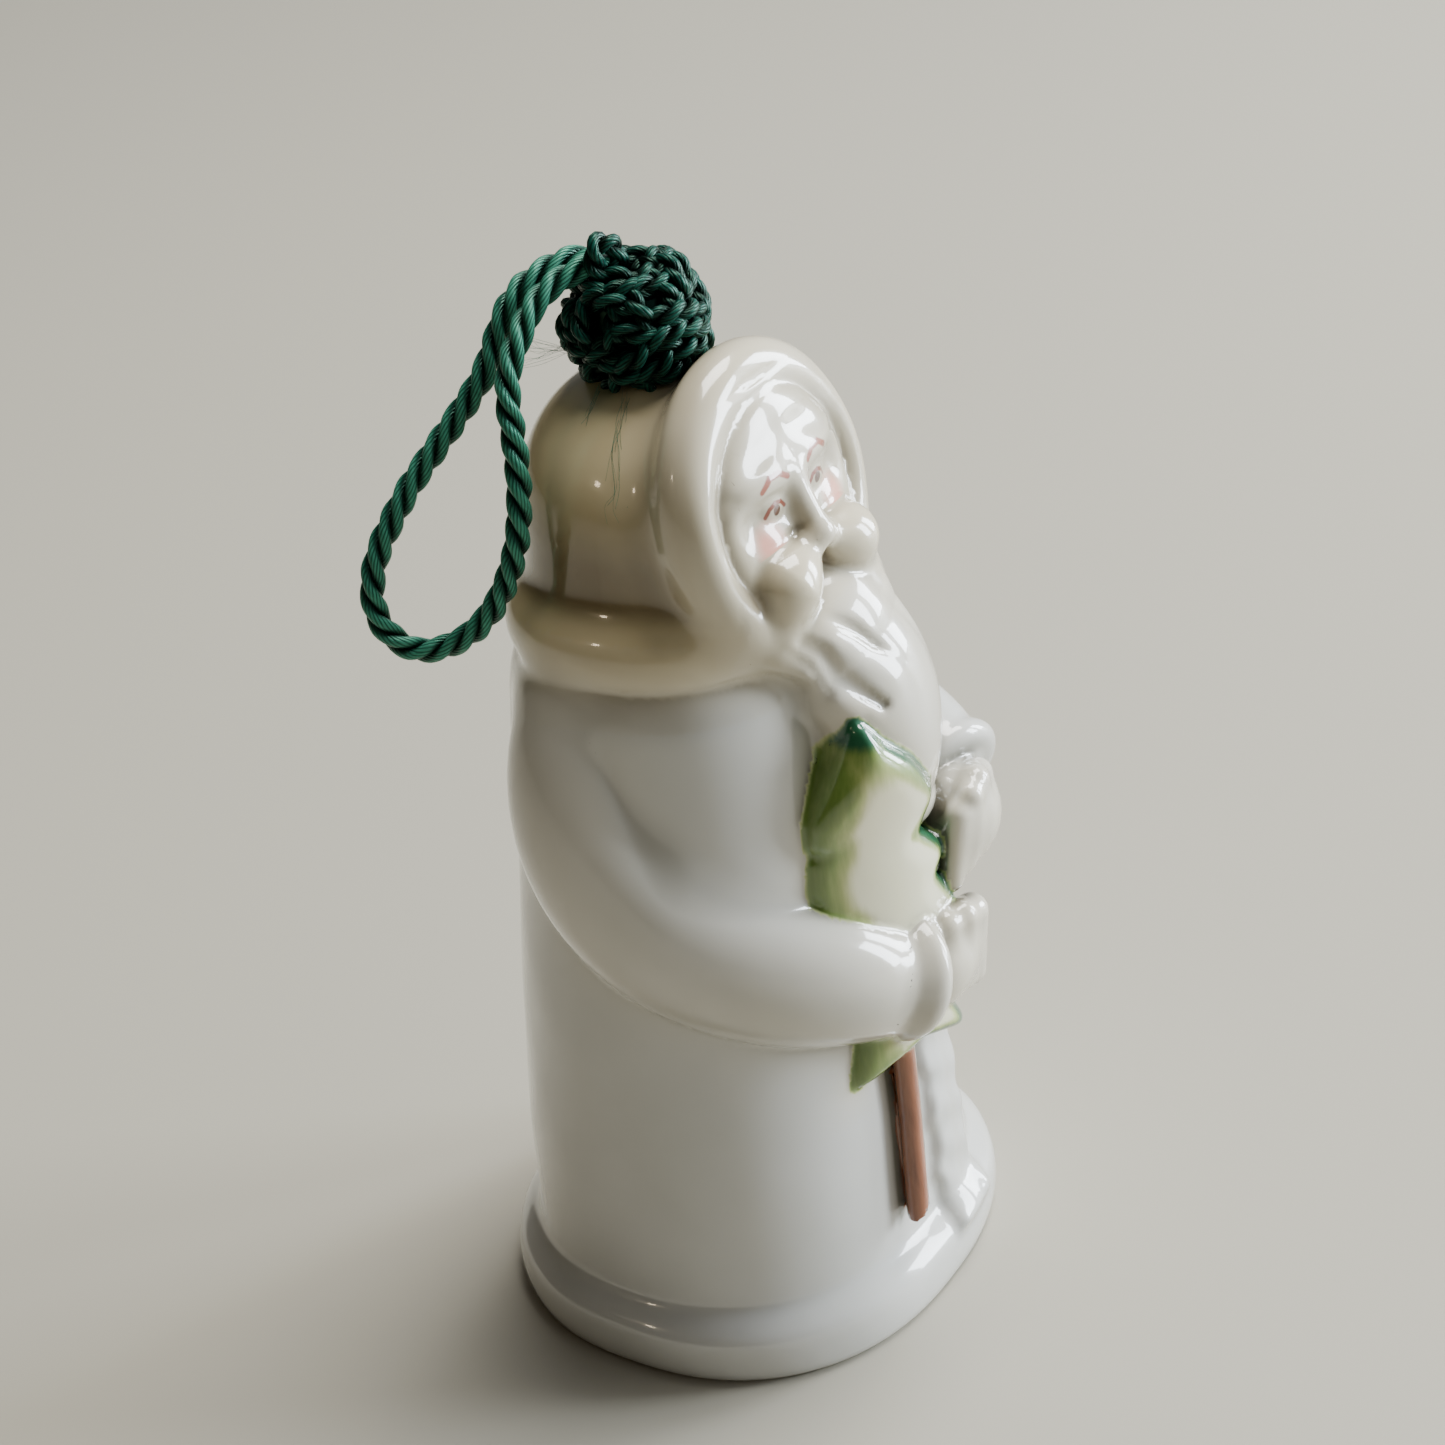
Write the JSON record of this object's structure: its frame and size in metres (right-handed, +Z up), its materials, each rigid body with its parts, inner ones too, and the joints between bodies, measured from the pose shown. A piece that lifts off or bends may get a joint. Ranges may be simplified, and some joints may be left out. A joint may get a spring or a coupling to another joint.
{
  "type": "bell ornament",
  "caption": "Glazed porcelain bell ornament shaped as a hooded, bearded winter figure holding a fir tree, with a twisted hanging cord and an inner clapper.",
  "frame": {"origin": "on the table under the middle of the figure's width and depth, hands included", "axes": "+Z up along the bell's axis, the figure faces -Y, its right hand is on the -X side"},
  "size_m": [0.043, 0.0436, 0.0938],
  "materials": {
    "robe_glaze": "clear gloss glaze over ivory porcelain, cool white",
    "warm_glaze": "clear gloss glaze over ivory porcelain, warm cream",
    "leaf_glaze": "brushed green under-glaze fading to cream, gloss",
    "bark_glaze": "brushed brown under-glaze, gloss",
    "bead_glaze": "glazed bead, gloss",
    "satin_cord": "twisted rayon cord, satin sheen"
  },
  "bodies": {
    "bell": {"robe_shell": "robe_glaze", "hood_shell": "warm_glaze", "face": "warm_glaze", "hood_rim": "warm_glaze", "moustache": "warm_glaze", "beard": "warm_glaze", "right_sleeve": "robe_glaze", "right_cuff": "robe_glaze", "right_mitten": "robe_glaze", "left_sleeve": "robe_glaze", "left_cuff": "robe_glaze", "left_mitten": "robe_glaze", "fir_tree": "leaf_glaze", "tree_trunk": "bark_glaze", "front_trim": "robe_glaze"},
    "hanger": {"cord_ball": "satin_cord", "crown_cord": "satin_cord"},
    "loop": {"hanging_loop": "satin_cord"},
    "clapper_hitch": {"stop_knot": "satin_cord"},
    "clapper": {"clapper_cord": "satin_cord", "clapper_bead": "bead_glaze", "clapper_end_knot": "satin_cord"}
  },
  "joints": [
    {"name": "cord_slack", "type": "slide", "parent": "bell", "child": "hanger", "axis": [0, 0, 1], "range_m": [0, 0.0015]},
    {"name": "loop_lift", "type": "hinge", "parent": "hanger", "child": "loop", "pos_m": [-0.0012, 0.0039, 0.0929], "axis": [0.809, 0.5878, 0], "range_deg": [0, 110]},
    {"name": "clapper_front_back", "type": "hinge", "parent": "hanger", "child": "clapper_hitch", "pos_m": [0, 0.0017, 0.0786], "axis": [1, 0, 0], "range_deg": [-7.5, 7.5]},
    {"name": "clapper_side_side", "type": "hinge", "parent": "clapper_hitch", "child": "clapper", "pos_m": [0, 0.0017, 0.0786], "axis": [0, 1, 0], "range_deg": [-7.5, 7.5]}
  ]
}
